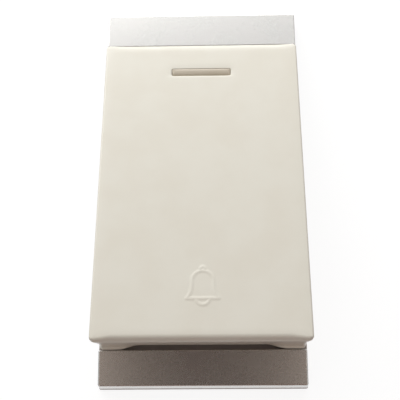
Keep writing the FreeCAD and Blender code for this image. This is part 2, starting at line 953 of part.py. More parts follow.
def make_can():
    x, y = can_x, can_y
    top = board_top + can_height
    can = rod(can_radius - can_sleeve, (x, y, board_top), (x, y, top))
    return rounded(can, fine_round, lambda e: e.BoundBox.ZMin > board_top + near)


def make_can_sleeve():
    x, y = can_x, can_y
    top = board_top + can_height - small_round
    sleeve = rod(can_radius, (x, y, board_top), (x, y, top))
    return sleeve.cut(rod(can_radius - can_sleeve, (x, y, board_top), (x, y, top)))


def make_resistors():
    bodies = []
    for x, y in resistor_places:
        z = board_top + resistor_radius + resistor_lift
        half = resistor_length / 2
        body = rod(resistor_radius, (x - half, y, z), (x + half, y, z))
        bodies.append(rounded(body, fine_round, round_edge))
    return bodies


def make_resistor_leads():
    leads = []
    for x, y in resistor_places:
        z = board_top + resistor_radius + resistor_lift
        for side in (-1, 1):
            start = x + side * resistor_length / 2
            end = start + side * resistor_lead
            along = rod(lead_radius, (start, y, z), (end, y, z))
            down = rod(lead_radius, (end, y, z), (end, y, board_top))
            knee = Part.makeSphere(lead_radius, Vector(end, y, z))
            leads.append(along.multiFuse([down, knee]).removeSplitter())
    return leads


def pin_rows():
    return [header_y + (i - (pin_count - 1) / 2) * pin_spacing for i in range(pin_count)]


def make_header():
    body = block_on_board((header_x, header_y), (pin_spacing, header_length, header_base))
    for y in pin_rows():
        hole = box(centred(header_x, pin_side), centred(y, pin_side),
                   (board_top, board_top + header_base))
        body = body.cut(hole)
    return body


def make_pins():
    x = centred(header_x, pin_side)
    z = (board_top, board_top + pin_height)
    return [box(x, centred(y, pin_side), z) for y in pin_rows()]


def make_jumper():
    rows = pin_rows()[:2]
    middle = sum(rows) / 2
    low = board_top + header_base
    cap = box(centred(header_x, pin_spacing), centred(middle, 2 * pin_spacing - jumper_gap),
              (low, low + jumper_height + jumper_wall))
    for y in rows:
        side = pin_side + jumper_gap
        z = (low - overrun, board_top + pin_height + jumper_gap)
        hole = box(centred(header_x, side), centred(y, side), z)
        cap = cap.cut(hole)
    return cap


# Battery, contacts and return spring

def make_battery():
    cap_start = battery_high_x - battery_cap_length
    can = rod(battery_radius, (battery_low_x, battery_y, battery_height),
              (cap_start, battery_y, battery_height))
    can = rounded(can, small_round, round_edge)
    cap = rod(battery_cap_radius, (cap_start, battery_y, battery_height),
              (battery_high_x, battery_y, battery_height))
    cap = rounded(cap, fine_round, lambda e: round_edge(e) and e.BoundBox.XMin > cap_start + near)
    return can, cap


def contact_plate(plate_x, outward):
    """Upright spring-metal plate with an arm that reaches onto the board."""
    x = sorted((plate_x, plate_x + outward * contact_thickness))
    low = floor_thickness + contact_foot
    plate = box(x, centred(battery_y, contact_width), (low, contact_height))
    arm_start = battery_y + contact_width / 2 - arm_root
    arm = box(x, (arm_start, board_low_y + arm_overlap), (board_top, board_top + arm_height))
    return plate.fuse(arm).removeSplitter()


def make_contact_spring():
    room = negative_space - contact_wire
    turn = FreeCAD.Rotation(Vector(0, 1, 0), 90)
    start = (negative_x + contact_wire / 2, battery_y, battery_height)
    return coil_wire_solid(start, turn, contact_coil_large, contact_coil_small,
                           room / contact_turns, contact_turns, contact_wire)


def make_return_spring():
    room = spring_length - spring_wire
    start = (0, spring_y, spring_seat_height + spring_wire / 2)
    turn = FreeCAD.Rotation(Vector(0, 0, 1), 0)
    return coil_wire_solid(start, turn, spring_radius, spring_radius,
                           room / spring_turns, spring_turns, spring_wire)


led_body, led_window = make_led()
battery_can, battery_cap = make_battery()

export("base_housing", make_base())
export("push_cover", make_cover())
export("light_bar", make_light_bar())
export("circuit_board", make_board())
export("board_screws", *make_board_screws())
export("switch_body", make_switch_body())
export("switch_top_plate", make_switch_plate())
export("switch_plunger", make_plunger())
export("switch_dome", make_dome())
export("switch_legs", *make_switch_legs())
export("led_body", led_body)
export("led_window", led_window)
export("encoder_chip", make_chip())
export("encoder_legs", *make_chip_legs())
export("radio_resonator", make_resonator())
export("radio_transistor", make_transistor())
export("transistor_legs", *make_transistor_legs())
export("antenna_coil", make_coil())
export("disc_capacitors", *make_capacitors())
export("capacitor_leads", *make_capacitor_leads())
export("electrolytic_can", make_can())
export("electrolytic_sleeve", make_can_sleeve())
export("resistors", *make_resistors())
export("resistor_leads", *make_resistor_leads())
export("melody_header", make_header())
export("header_pins", *make_pins())
export("melody_jumper", make_jumper())
export("battery_can", battery_can)
export("battery_cap", battery_cap)
export("positive_contact", contact_plate(positive_x, 1))
export("negative_contact", contact_plate(negative_x, -1))
export("negative_spring", make_contact_spring())
export("return_spring", make_return_spring())
print("press angle", round(math.degrees(press_angle), 4), "degrees")
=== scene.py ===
import bmesh
import bpy
import json
import math
import numpy as np
from mathutils import Euler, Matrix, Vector


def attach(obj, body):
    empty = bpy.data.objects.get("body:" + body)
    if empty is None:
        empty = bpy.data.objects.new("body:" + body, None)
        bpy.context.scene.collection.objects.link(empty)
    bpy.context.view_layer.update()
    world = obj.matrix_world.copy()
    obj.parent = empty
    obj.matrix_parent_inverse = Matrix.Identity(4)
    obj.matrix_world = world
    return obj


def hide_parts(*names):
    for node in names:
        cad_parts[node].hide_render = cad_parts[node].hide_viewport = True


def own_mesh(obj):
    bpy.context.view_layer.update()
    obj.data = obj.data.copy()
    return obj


# Looks of the wall push: a wedge-shaped ivory cover on a shallow silver base.
# Metres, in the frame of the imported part: X across, +Y to the upper end, +Z out of the wall.

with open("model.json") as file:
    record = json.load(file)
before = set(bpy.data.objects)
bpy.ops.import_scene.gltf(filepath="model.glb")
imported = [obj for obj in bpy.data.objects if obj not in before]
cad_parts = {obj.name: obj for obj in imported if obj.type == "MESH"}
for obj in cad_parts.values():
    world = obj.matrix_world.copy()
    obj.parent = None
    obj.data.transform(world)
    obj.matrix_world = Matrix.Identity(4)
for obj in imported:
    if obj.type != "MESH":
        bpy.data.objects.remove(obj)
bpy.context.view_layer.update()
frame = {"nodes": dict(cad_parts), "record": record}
nodes = frame["nodes"]
mm = 0.001
print("frame loaded:", len(nodes), "nodes")


# Shader helpers

class Wire:
    # one socket of a finish; each sign written on it adds a Math node
    def __init__(self, finish, socket):
        self.finish, self.socket = finish, socket

    def maths(self, operation, *values):
        return self.finish.add("ShaderNodeMath", {"operation": operation}, dict(enumerate(values)))

    def __add__(self, other):
        return self.maths("ADD", self, other)

    def __sub__(self, other):
        return self.maths("SUBTRACT", self, other)

    def __rsub__(self, other):
        return self.maths("SUBTRACT", other, self)

    def __mul__(self, other):
        return self.maths("MULTIPLY", self, other)

    def __truediv__(self, other):
        return self.maths("DIVIDE", self, other)

    def __pow__(self, other):
        return self.maths("POWER", self, other)

    __radd__, __rmul__ = __add__, __mul__

    def size(self):
        return self.maths("ABSOLUTE", self)

    def least(self, other):
        return self.maths("MAXIMUM", self, other)

    def below(self, other):
        return self.maths("LESS_THAN", self, other)

    def wrapped(self):
        # what is left over a whole number
        return self.maths("FRACT", self)

    def share(self, low, high):
        # 0 below low, 1 above high, eased between
        settings = {"interpolation_type": "SMOOTHSTEP"}
        sockets = {"Value": self, "From Min": low, "From Max": high}
        return self.finish.add("ShaderNodeMapRange", settings, sockets)


class Finish:
    # a material whose nodes are added one by one: kind, settings first, then socket values or links
    def __init__(self, name, tree=None):
        self.material, self.tree, self.place = None, tree, None
        if tree is None:
            self.material = bpy.data.materials.new(name)
            self.material.use_nodes = True
            self.tree = self.material.node_tree
        self.tree.nodes.clear()

    def add(self, kind, settings=None, sockets=None, out=0):
        node = self.tree.nodes.new(kind)
        for name, value in (settings or {}).items():
            if name == "stops":
                node.color_ramp.interpolation = "CONSTANT"
                ramp = node.color_ramp.elements
                while len(ramp) < len(value):
                    ramp.new(1.0)
                for stop, (position, colour) in zip(ramp, value):
                    stop.position, stop.color = position, (*colour, 1.0)
            else:
                setattr(node, name, value)
        for name, value in (sockets or {}).items():
            if isinstance(value, Wire):
                self.tree.links.new(value.socket, node.inputs[name])
            else:
                node.inputs[name].default_value = value
        return Wire(self, node.outputs[out] if node.outputs else None)

    def where(self):
        # object coordinates, made once
        if self.place is None:
            self.place = self.add("ShaderNodeTexCoord", out="Object")
        return self.place

    def axes(self):
        split = self.add("ShaderNodeSeparateXYZ", sockets={"Vector": self.where()})
        others = split.socket.node.outputs
        return split, Wire(self, others["Y"]), Wire(self, others["Z"])

    def noise(self, sizeMm, detail=3.0, rough=0.5, stretch=None):
        # cloudy pattern of about the given size
        place = self.where()
        if stretch:
            place = self.add("ShaderNodeMapping", sockets={"Vector": place, "Scale": stretch})
        sockets = {"Vector": place, "Scale": 1 / (sizeMm * mm), "Detail": detail, "Roughness": rough}
        return self.add("ShaderNodeTexNoise", sockets=sockets)

    def cells(self, sizeMm, out="Color"):
        # Color: a random value for each cell; Distance: how far from its middle, in cells
        sockets = {"Vector": self.where(), "Scale": 1 / (sizeMm * mm)}
        return self.add("ShaderNodeTexVoronoi", sockets=sockets, out=out)

    def blend(self, factor, first, second):
        sockets = {"Factor": factor, "A": colour4(first), "B": colour4(second)}
        node = self.tree.nodes.new("ShaderNodeMix")
        node.data_type = "RGBA"
        for name, value in sockets.items():
            socket = next(s for s in node.inputs if s.name == name and s.enabled)
            if isinstance(value, Wire):
                self.tree.links.new(value.socket, socket)
            else:
                socket.default_value = value
        return Wire(self, next(s for s in node.outputs if s.enabled))

    def bump(self, height, depthMm):
        return self.add("ShaderNodeBump", sockets={"Height": height, "Distance": depthMm * mm})

    def shader(self, sockets):
        settled = dict(sockets)
        settled["Base Color"] = colour4(sockets["Base Color"])
        return self.add("ShaderNodeBsdfPrincipled", sockets=settled)

    def done(self, surface):
        self.add("ShaderNodeOutputMaterial", sockets={"Surface": surface})
        return self.material


def colour4(value):
    return value if isinstance(value, Wire) else (*value, 1.0)


def srgb(red, green, blue):
    # what a picture shows as 0 to 255, as scene colour
    shares = [c / 255 for c in (red, green, blue)]
    return tuple(c / 12.92 if c <= 0.04045 else ((c + 0.055) / 1.055) ** 2.4 for c in shares)


# Finishes

def mouldedPlastic(name, colour, shade, roughness, grainMm=0.25, depthMm=0.004, coat=0.0):
    # dyed plastic: faint cloudiness in the colour, fine mould grain in gloss and height
    f = Finish(name)
    cloud = f.noise(9.0, 4.0)
    grain = f.noise(grainMm, 2.0)
    base = f.blend(cloud.share(0.3, 0.7), colour, shade)
    rough = roughness + (grain - 0.5) * 0.12 + (cloud - 0.5) * 0.08
    sockets = {"Base Color": base, "Roughness": rough, "Normal": f.bump(grain, depthMm)}
    return f.done(f.shader({**sockets, "Coat Weight": coat}))


def bareMetal(name, colour, shade, roughness):
    # metal with faint stains and fine unevenness in its gloss
    f = Finish(name)
    fine = f.noise(0.35)
    stain = f.noise(2.5, 4.0)
    base = f.blend(stain.share(0.35, 0.75), colour, shade)
    rough = roughness + (fine - 0.5) * 0.2 + (stain - 0.5) * 0.1
    sockets = {"Base Color": base, "Metallic": 1.0, "Roughness": rough, "Normal": f.bump(fine, 0.003)}
    return f.done(f.shader(sockets))


# where the base shows bare plastic, in millimetres: under the cover, in the end pockets and towards
# the back; the bare tone under the cover and in the band up from the back edge is also painted shade
lacquerBook = dict(
    coverY=(-37.4, 36.15), coverHalf=22.9, pocketY=43.8, pocketHalf=21.6, pocketTop=4.2,
    # painted shade: up to these heights above the back, in millimetres, the paint fades into the bare
    # tone as shade near the floor
    footShade=(0.6, 2.2),
    flake=0.09, dustPitch=1.3, dustDot=(0.03, 0.09), roughness=0.27, coat=0.5, coatRoughness=0.06,
)


def silverLacquer(name, book, colour, shade, bareAndShadeTone):
    # aluminium-flake paint under clear lacquer, sprayed from outside; the bare tone left under the cover
    # and near the back edge is also painted shade; dust leaves small dull dots in it
    f = Finish(name)
    flakes = f.cells(book["flake"])
    cloud = f.noise(7.0, 3.0)
    fine = f.noise(0.12, 2.0)
    base = f.blend(cloud.share(0.3, 0.7) * 0.8 + (flakes - 0.5) * 0.2, colour, shade)
    dust = 1.0 - f.cells(book["dustPitch"], "Distance").share(*book["dustDot"])
    rough = book["roughness"] + (flakes - 0.5) * 0.02 + (cloud - 0.5) * 0.05 + dust * 0.3
    x, y, z = f.axes()
    covered = within(y, *book["coverY"]) * upTo(x.size(), book["coverHalf"])
    pocketPlan = upTo(y.size(), book["pocketY"]) * upTo(x.size(), book["pocketHalf"])
    pockets = pocketPlan * upTo(z, book["pocketTop"])
    # painted shade along the foot of the base
    footShadeFrom, footShadeTo = book["footShade"]
    bareAndShade = covered.least(pockets).least(1.0 - z.share(footShadeFrom * mm, footShadeTo * mm))
    paint = 1.0 - bareAndShade
    # painted shade: the bare tone under the cover and up from the back edge stands in for the shade
    # there
    colours = f.blend(bareAndShade, base, bareAndShadeTone)
    sockets = {"Base Color": colours, "Metallic": paint, "Roughness": rough + bareAndShade * 0.25}
    coat = {"Coat Weight": paint * book["coat"], "Coat Roughness": book["coatRoughness"]}
    return f.done(f.shader({**sockets, **coat, "Normal": f.bump(fine, 0.0003)}))


def within(place, low, high, edge=0.04):
    # 1 between two places in millimetres, with a soft edge
    return place.share((low - edge) * mm, low * mm) * upTo(place, high, edge)


def upTo(place, high, edge=0.04):
    return 1.0 - place.share(high * mm, (high + edge) * mm)


def nearTo(first, second, centre):
    # distance from a line through a centre given in millimetres
    first, second = first - centre[0] * mm, second - centre[1] * mm
    return (first * first + second * second) ** 0.5


boardBook = dict(
    cell=5.5, randomness=0.8, pitch=1.27, line=0.24, uprightShare=0.5, filledFrom=0.68, depth=0.03,
)


def boardMask(name, book, colour, shade, track):
    # solder mask over copper: square cells that hold tracks along X, tracks along Y or a filled patch
    f = Finish(name)
    cloud = f.noise(5.0, 3.0)
    x, y, z = f.axes()
    cell = {"Vector": f.where(), "Scale": 1 / (book["cell"] * mm), "Randomness": book["randomness"]}
    kind = f.add("ShaderNodeTexVoronoi", {"distance": "CHEBYCHEV"}, cell, out="Color")
    alongX, alongY = ((place / (book["pitch"] * mm)).wrapped().below(book["line"]) for place in (y, x))
    upright = kind.below(book["uprightShare"])
    filled = 1.0 - kind.below(book["filledFrom"])
    tracks = (upright * alongY + (1.0 - upright) * alongX).least(filled)
    base = f.blend(tracks, f.blend(cloud.share(0.3, 0.7), colour, shade), track)
    rough = 0.3 + (f.noise(0.5) - 0.5) * 0.14
    sockets = {"Base Color": base, "Roughness": rough, "Normal": f.bump(tracks, book["depth"])}
    return f.done(f.shader(sockets))


chipBook = dict(hollow=(-10.6, 9.8), hollowRadius=0.45, above=6, depth=0.04)


def mouldedBlack(name, book, colour, shade):
    # dull black mouldings; the chip has a small polished hollow beside its first leg
    f = Finish(name)
    grain = f.noise(0.2, 3.0)
    x, y, z = f.axes()
    onTop = 1.0 - z.below(book["above"] * mm)
    hollow = nearTo(x, y, book["hollow"]).below(book["hollowRadius"] * mm) * onTop
    base = f.blend(grain.share(0.3, 0.7), colour, shade)
    rough = 0.5 + (grain - 0.5) * 0.16 - hollow * 0.25
    height = f.bump(grain * 0.2 - hollow, book["depth"])
    return f.done(f.shader({"Base Color": base, "Roughness": rough, "Normal": height}))


# bands as (share of the length, colour); the fourth resistor lies further right than the other three
tan, brown, black = (0.52, 0.36, 0.17), (0.10, 0.035, 0.012), (0.01, 0.01, 0.01)
orange, gold = (0.60, 0.15, 0.01), (0.55, 0.36, 0.08)
resistorBook = dict(
    start=0.8, length=3.4, fourthFrom=6, fourthShift=6.7,
    bands=[(0, tan), (0.17, brown), (0.25, tan), (0.33, black), (0.41, tan), (0.49, orange), (0.57, tan),
           (0.76, gold), (0.84, tan)],
    dirt=(0.12, 0.07, 0.03),
)


def bandedLacquer(name, book):
    f = Finish(name)
    x, y, z = f.axes()
    along = x - (1.0 - x.below(book["fourthFrom"] * mm)) * (book["fourthShift"] * mm)
    place = (along - book["start"] * mm) / (book["length"] * mm)
    bands = f.add("ShaderNodeValToRGB", {"stops": book["bands"]}, {"Fac": place})
    grain = f.noise(0.5, 3.0)
    base = f.blend(grain.share(0.4, 0.8) * 0.15, bands, book["dirt"])
    sockets = {"Base Color": base, "Roughness": 0.28 + grain * 0.12, "Normal": f.bump(grain, 0.01)}
    return f.done(f.shader(sockets))


batteryBook = dict(
    axis=(-27, 6.8), start=-12.75, length=27.6, endBelow=-12.7, rim=4.3, rimWear=0.3,
    bands=[(0, (0.045, 0.048, 0.055)), (0.66, (0.60, 0.60, 0.58)), (0.675, (0.50, 0.22, 0.045))],
    worn=(0.16, 0.16, 0.16), metal=(0.62, 0.60, 0.56),
)


def printedSleeve(name, book):
    # plain printed sleeve of the battery, with the bare end of the can inside its shrunk rim
    f = Finish(name)
    x, y, z = f.axes()
    rim = nearTo(y, z, book["axis"]) + (f.noise(1.2) - 0.5) * (book["rimWear"] * mm)
    end = x.below(book["endBelow"] * mm) * rim.below(book["rim"] * mm)
    place = (x - book["start"] * mm) / (book["length"] * mm)
    bands = f.add("ShaderNodeValToRGB", {"stops": book["bands"]}, {"Fac": place})
    wear = f.noise(1.5, 6.0, 0.7, (0.3, 1, 1))
    base = f.blend(end, f.blend(wear.share(0.55, 0.8) * 0.3, bands, book["worn"]), book["metal"])
    sockets = {"Base Color": base, "Metallic": end, "Roughness": 0.24 + wear * 0.14}
    return f.done(f.shader({**sockets, "Normal": f.bump(wear, 0.006)}))


canBook = dict(
    centre=(13.0, -4.52), stripeFrom=14.9, dashHalf=0.3, dashPitch=1.5, dashShare=0.55,
    crossHalf=0.12, crossAbove=9.7, crossDepth=0.05,
)


def stripedSleeve(name, book, colour, stripe):
    # sleeve of the tall capacitor with a pale stripe down its negative side, and dashes in the stripe
    f = Finish(name)
    x, y, z = f.axes()
    side = 1.0 - x.below(book["stripeFrom"] * mm)
    middle = (y - book["centre"][1] * mm).size().below(book["dashHalf"] * mm)
    dash = middle * (z / (book["dashPitch"] * mm)).wrapped().below(book["dashShare"])
    grain = f.noise(0.6, 3.0)
    base = f.blend(side * (1.0 - dash), colour, stripe)
    sockets = {"Base Color": base, "Roughness": 0.22 + grain * 0.1, "Normal": f.bump(grain, 0.004)}
    return f.done(f.shader(sockets))


def scoredCan(name, book, colour, shade):
    # drawn aluminium with a cross scored in its top; the cross takes the darker tone as painted shade in
    # its groove
    f = Finish(name)
    x, y, z = f.axes()
    lines = [(place - middle * mm).size().below(book["crossHalf"] * mm)
             for place, middle in zip((x, y), book["centre"])]
    cross = lines[0].least(lines[1]) * (1.0 - z.below(book["crossAbove"] * mm))
    grain = f.noise(0.25, 4.0)
    # painted shade: the scored cross is darkened
    base = f.blend(grain.share(0.35, 0.7).least(cross), colour, shade)
    sockets = {"Base Color": base, "Metallic": 1.0, "Roughness": 0.3 + grain * 0.08 + cross * 0.2}
    return f.done(f.shader({**sockets, "Normal": f.bump(grain * 0.1 - cross, book["crossDepth"])}))


finishes = {
    "ivory_cover": mouldedPlastic(
        "ivoryPlastic", srgb(234, 230, 217), srgb(231, 226, 212), 0.33, 0.3, 0.002, coat=0.15),
    "tan_lens": mouldedPlastic("tanLens", srgb(198, 187, 168), srgb(190, 178, 158), 0.25, 0.4, 0.002),
    "board_green": boardMask(
        "boardGreen", boardBook, (0.012, 0.12, 0.05), (0.01, 0.10, 0.042), (0.03, 0.22, 0.085)),
    "black_plastic": mouldedBlack(
        "blackPlastic", chipBook, (0.018, 0.018, 0.019), (0.026, 0.026, 0.027)),
    "plunger_black": mouldedPlastic("plungerBlack", (0.022, 0.022, 0.024), (0.03, 0.03, 0.03), 0.42),
    "white_package": mouldedPlastic("whitePackage", (0.78, 0.77, 0.72), (0.72, 0.71, 0.66), 0.35),
    "amber_window": mouldedPlastic("amberWindow", (0.62, 0.30, 0.06), (0.55, 0.24, 0.04), 0.12),
    "disc_orange": mouldedPlastic("discOrange", (0.50, 0.17, 0.03), (0.42, 0.13, 0.025), 0.3, 0.5, 0.02),
    "dark_sleeve": stripedSleeve("darkSleeve", canBook, (0.014, 0.018, 0.05), (0.42, 0.43, 0.45)),
    "resistor_tan": bandedLacquer("resistorTan", resistorBook),
    "jumper_blue": mouldedPlastic("jumperBlue", (0.015, 0.04, 0.20), (0.02, 0.05, 0.24), 0.4),
    "battery_sleeve": printedSleeve("batterySleeve", batteryBook),
    "silver_base": silverLacquer(
        "silverLacquer", lacquerBook, (0.52, 0.51, 0.495), (0.48, 0.475, 0.46), (0.36, 0.30, 0.275)),
    "zinc_screw": bareMetal("zincScrew", (0.58, 0.58, 0.56), (0.48, 0.48, 0.47), 0.3),
    "tinned_steel": bareMetal("tinnedSteel", (0.66, 0.66, 0.65), (0.55, 0.55, 0.54), 0.28),
    "nickel_can": bareMetal("nickelCan", (0.62, 0.60, 0.56), (0.54, 0.52, 0.48), 0.26),
    "enamelled_copper": bareMetal("enamelledCopper", (0.62, 0.22, 0.07), (0.50, 0.16, 0.05), 0.25),
    "bare_aluminium": scoredCan("bareAluminium", canBook, (0.72, 0.72, 0.73), (0.50, 0.50, 0.51)),
    "gilt_pins": bareMetal("giltPins", (0.75, 0.53, 0.20), (0.66, 0.45, 0.16), 0.25),
    "contact_metal": bareMetal("contactMetal", (0.68, 0.66, 0.62), (0.58, 0.57, 0.53), 0.25),
    "spring_steel": bareMetal("springSteel", (0.50, 0.50, 0.49), (0.40, 0.40, 0.39), 0.25),
}
slotOf = {part["node"]: part["material_slot"] for part in frame["record"]["subparts"]}
for name, node in nodes.items():
    node.data.materials.clear()
    node.data.materials.append(finishes[slotOf[name]])
print("finishes given to", len(nodes), "nodes")


# Shapes: points are millimetres until a piece is made

class Mould:
    # gathers grids of points; points that meet are joined when the piece is made
    def __init__(self):
        self.points, self.faces, self.count = [], [], 0

    def sheet(self, grid, closed=False, kept=None):
        # quads between neighbouring rows and columns of a grid; closed joins the last column
        # to the first
        grid = np.asarray(grid, float)
        index = self.count + np.arange(grid.shape[0] * grid.shape[1]).reshape(grid.shape[:2])
        self.points.append(grid.reshape(-1, 3))
        self.count += index.size
        if closed:
            index = np.concatenate([index, index[:, :1]], axis=1)
        quads = np.stack([index[:-1, :-1], index[:-1, 1:], index[1:, 1:], index[1:, :-1]], axis=-1)
        quads = quads.reshape(-1, 4)
        self.faces += (quads if kept is None else quads[kept]).tolist()

    def turned(self, profile, centre, sides=48):
        # profile of (radius, height) pairs carried round an upright axis; radius 0 closes an end
        radius, height = np.asarray(profile, float).T[:, :, None]
        angle = np.linspace(0, 2 * np.pi, sides, endpoint=False)
        place = [radius * np.cos(angle), radius * np.sin(angle), height + 0 * angle]
        self.sheet(np.stack(place, axis=-1) + centre, closed=True)

    def piece(self, name, finish, body, smooth=38, joined=1e-4):
        mesh = bpy.data.meshes.new(name)
        mesh.from_pydata((np.concatenate(self.points) * mm).tolist(), [], self.faces)
        work = bmesh.new()
        work.from_mesh(mesh)
        bmesh.ops.remove_doubles(work, verts=work.verts, dist=joined * mm)
        bmesh.ops.recalc_face_normals(work, faces=work.faces)
        work.to_mesh(mesh)
        work.free()
        mesh.shade_smooth()
        mesh.set_sharp_from_angle(angle=math.radians(smooth))
        mesh.materials.append(finishes[finish])
        piece = bpy.data.objects.new(name, mesh)
        bpy.context.scene.collection.objects.link(piece)
        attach(piece, body)
        print(name, len(mesh.polygons), "faces")
        return piece


def lerp(first, second, share):
    return first + (second - first) * share


def eased(value):
    share = np.clip(value, 0, 1)
    return share * share * (3 - 2 * share)


def unit(vectors):
    return vectors / np.linalg.norm(vectors, axis=-1, keepdims=True)


# Push cover

coverBook = dict(
    half=23.0, high=36.1, foot=-36.3, faceAtHigh=6.885, slope=10.5, wall=1.8, skirt=2.0,
    lean=5.5, leanFrom=-20,    # the low end leans out, the sides behind this place with it
    rimHigh=3.4, rimLow=4.4, rimRound=0.2,
    cornerLow=1.2, cornerHigh=0.9, cornerInside=0.4,    # plan corners
    # edge rounds
    edgeSide=0.45, edgeLow=1.3, edgeHigh=1.6, edgeCorner=0.85, edgeRun=3.5, edgeInside=0.3,
    toeReach=(14.0, 18.8), toeNose=-37.33, toeHeight=1.0, toeFlare=6.8,
    slotHalf=(7.0, 1.0), slotY=28.0, slotCorner=0.45, slotEdge=0.32, slotEdgeHigh=0.3,
    pivot=(26.0, 5.2), pivotHole=(0.8, 22.2), pivotWindow=(25.0, 27.2),
    faceHalf=20.4, faceLow=-35.0, faceHigh=33.8, cornerSteps=7, edgeSteps=6, slotSteps=5,
    # rows of points: down the outer wall, from the toes' flare to their nose, round the rim in
    # degrees, and up the inner wall; then the share of the way from its top to the ceiling's edge
    wallRows=(0.15, 0.4, 0.7), toeRows=(1, 0.8, 0.6, 0.4, 0.2, 0), rimTurns=(0, 30, 60, 90),
    skirtRows=(0, 0.2, 0.5, 0.82, 1.0), ceilingRow=0.08,
    windowRows=(-6, -4),    # rows round the pivot's window, counted back from the shell's last one
)
# reach: how far the fine grid goes from the bell's middle, sideways, down and up
bellBook = dict(
    x=0.33, y=-24.77, dome=2.28, flare=1.12, drop=3.92, clapper=1.4, knob=0.45, knobRise=2.73,
    ridge=0.62, relief=0.08, pitch=0.12, reach=(4.9, 7.0, 4.2), arcSteps=24, sideSteps=8,
)


def faceHeight(book, y):
    # the face falls evenly towards the upper end
    return book["faceAtHigh"] + (book["high"] - y) * math.tan(math.radians(book["slope"]))


def faceNormal(book):
    slope = math.radians(book["slope"])
    return np.array([0, math.sin(slope), math.cos(slope)])


def bellStrokes(book):
    # lines of the bell: an arc, two sides that flare with the cube of the way down to a straight rim,
    # a half ring below and one on top
    arc = np.radians(np.linspace(0, 180, book["arcSteps"] + 1))
    dome = book["dome"] * np.stack([np.cos(arc), np.sin(arc)], axis=-1)
    down = np.linspace(0, 1, book["sideSteps"] + 1)[1:]
    side = np.stack([book["dome"] + book["flare"] * down ** 3, -book["drop"] * down], axis=-1)
    outline = np.concatenate([dome, side * (-1, 1), side[::-1], dome[:1]])
    below = book["clapper"] * np.stack([np.cos(arc), -np.sin(arc)], axis=-1) + (0, -book["drop"])
    above = book["knob"] * np.stack([np.cos(arc), np.sin(arc)], axis=-1) + (0, book["knobRise"])
    return [outline, below, above]


def bellHeight(cover, book, x, y):
    # soft ridge: half a cosine wave over the distance to the nearest stroke
    place = np.stack([x - book["x"], (y - book["y"]) / math.cos(math.radians(cover["slope"]))], axis=-1)
    near = np.full(x.shape, 1e3)
    for stroke in bellStrokes(book):
        for start, end in zip(stroke[:-1], stroke[1:]):
            along = end - start
            share = np.clip(((place - start) @ along) / (along @ along), 0, 1)
            foot = start + share[..., None] * along
            near = np.minimum(near, np.linalg.norm(place - foot, axis=-1))
    return book["relief"] * 0.5 * (1 + np.cos(np.pi * np.clip(near / book["ridge"], 0, 1)))


def roundCorner(centre, radius, first, last, steps):
    angle = np.radians(np.linspace(first, last, steps + 2)[1:-1])[:, None]
    normal = np.concatenate([np.cos(angle), np.sin(angle)], axis=1)
    return np.asarray(centre) + radius * normal, normal


def planLoop(half, low, high, cornerLow, cornerHigh, xs, ys, steps):
    # once round a box in plan, from its lower left: four straights that keep the face's grid lines
    # and four arcs
    def stretched(values, first, last):
        values = np.clip(values, first, last)
        values[0], values[-1] = first, last
        return values
    lowXs = stretched(xs.copy(), cornerLow - half, half - cornerLow)
    highXs = stretched(xs.copy(), cornerHigh - half, half - cornerHigh)[::-1]
    sideYs = stretched(ys.copy(), low + cornerLow, high - cornerHigh)
    parts = []

    def straight(x, y, normal):
        x, y = np.broadcast_arrays(x, y)
        parts.append((np.stack([x, y], axis=-1), np.tile(normal, (len(x), 1))))
    straight(lowXs, low, (0.0, -1.0))
    parts.append(roundCorner((half - cornerLow, low + cornerLow), cornerLow, -90, 0, steps))
    straight(half, sideYs, (1.0, 0.0))
    parts.append(roundCorner((half - cornerHigh, high - cornerHigh), cornerHigh, 0, 90, steps))
    straight(highXs, high, (0.0, 1.0))
    parts.append(roundCorner((cornerHigh - half, high - cornerHigh), cornerHigh, 90, 180, steps))
    straight(-half, sideYs[::-1], (-1.0, 0.0))
    parts.append(roundCorner((cornerLow - half, low + cornerLow), cornerLow, 180, 270, steps))
    return tuple(np.concatenate(part) for part in zip(*parts))


def faceLoop(xs, ys, steps):
    # the same walk round the rim of the face's grid, waiting at each corner
    low, high = np.full(len(xs), ys[0]), np.full(len(xs), ys[-1])
    left, right = np.full(len(ys), xs[0]), np.full(len(ys), xs[-1])
    corners = [(xs[-1], ys[0]), (xs[-1], ys[-1]), (xs[0], ys[-1]), (xs[0], ys[0])]
    straights = [(xs, low), (right, ys), (xs[::-1], high), (left, ys[::-1])]
    parts = []
    for (x, y), corner in zip(straights, corners):
        parts += [np.stack([x, y], axis=-1), np.tile(corner, (steps, 1))]
    return np.concatenate(parts)


def gridLines(stretches):
    # sorted places of grid lines: (start, end, count) stretches and their ends
    lines = np.concatenate([np.linspace(*stretch) for stretch in stretches])
    lines = np.sort(lines)
    return lines[np.concatenate([[True], np.diff(lines) > 1e-6])]


def coverLines(cover, bell):
    cosine = math.cos(math.radians(cover["slope"]))
    slotX = cover["slotHalf"][0] + cover["slotEdge"]
    slotY = (cover["slotHalf"][1] + cover["slotEdge"]) * cosine
    rounded = cover["slotCorner"] + cover["slotEdge"]
    sideways, down, up = bell["reach"]
    side = gridLines([
        (sideways, slotX - rounded, 3), (slotX - rounded, slotX, 3),
        (slotX, cover["toeReach"][0], 7), (cover["toeReach"][0], cover["faceHalf"], 13),
    ])
    fine = np.linspace(-sideways, sideways, int(2 * sideways / bell["pitch"]) + 1)
    xs = np.concatenate([-side[::-1], fine[1:-1], side])
    bellLow, bellHigh = bell["y"] - down, bell["y"] + up
    slotLow, slotHigh = cover["slotY"] - slotY, cover["slotY"] + slotY
    ys = gridLines([
        (cover["faceLow"], bellLow, 2),
        (bellLow, bellHigh, int((bellHigh - bellLow) / bell["pitch"]) + 1),
        (bellHigh, cover["pivotWindow"][0], 17), (cover["pivotWindow"][0], slotLow, 5),
        (slotLow, slotLow + rounded * cosine, 3),
        (slotLow + rounded * cosine, slotHigh - rounded * cosine, 2),
        (slotHigh - rounded * cosine, slotHigh, 3), (slotHigh, cover["faceHigh"], 4),
    ])
    return xs, ys, (slotX, slotLow, slotHigh)


